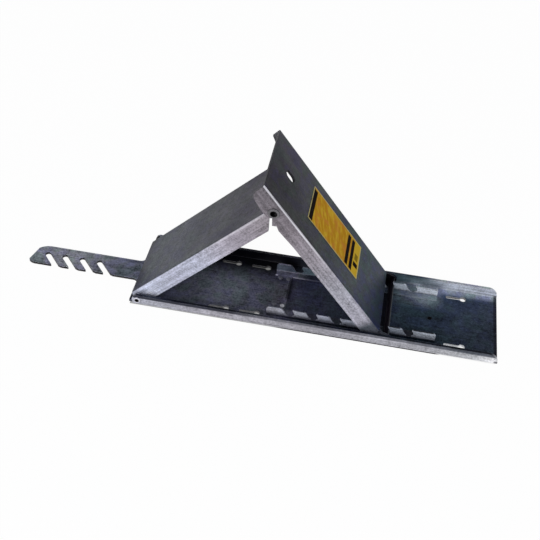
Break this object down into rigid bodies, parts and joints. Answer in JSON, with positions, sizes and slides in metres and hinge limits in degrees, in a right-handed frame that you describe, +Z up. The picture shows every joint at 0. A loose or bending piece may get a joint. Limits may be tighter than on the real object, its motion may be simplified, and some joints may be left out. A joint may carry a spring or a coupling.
{
  "type": "slate roof bracket",
  "caption": "Folding roof bracket of galvanised sheet: a hanger tongue and base channel, a hinged arm and a hinged brace whose foot rod sits in notched racks.",
  "frame": {"origin": "underside of the base channel, on its middle line, at the hinge end where the tongue begins", "axes": "+X along the base from the hinge to the far end, +Y across the bracket, +Z up from the roof"},
  "size_m": [0.462, 0.0906, 0.1643],
  "materials": {
    "galvanised_sheet": "hot-dip galvanised, dull",
    "plated_steel": "zinc plated"
  },
  "bodies": {
    "base": {"base_channel": "galvanised_sheet", "notch_rack": "galvanised_sheet", "rack_rivet_1": "plated_steel", "rack_rivet_2": "plated_steel", "rack_rivet_3": "plated_steel", "rack_rivet_4": "plated_steel", "hinge_rivet_near": "plated_steel", "hinge_rivet_far": "plated_steel", "hinge_washer_near": "plated_steel", "hinge_washer_far": "plated_steel"},
    "arm": {"platform_arm": "galvanised_sheet"},
    "brace": {"brace": "galvanised_sheet", "foot_rod": "plated_steel", "apex_rivet_near": "plated_steel", "apex_rivet_far": "plated_steel"}
  },
  "joints": [
    {"name": "arm_hinge", "type": "hinge", "parent": "base", "child": "arm", "pos_m": [0.0088, 0, 0.0066], "axis": [0, -1, 0], "range_deg": [0, 36]},
    {"name": "brace_hinge", "type": "hinge", "parent": "arm", "child": "brace", "pos_m": [0.13329, 0, 0.13679], "axis": [0, -1, 0], "range_deg": [-25, 0]}
  ],
  "couplings": [
    {"joint": "brace_hinge", "follows": "arm_hinge", "ratio": -0.69}
  ]
}
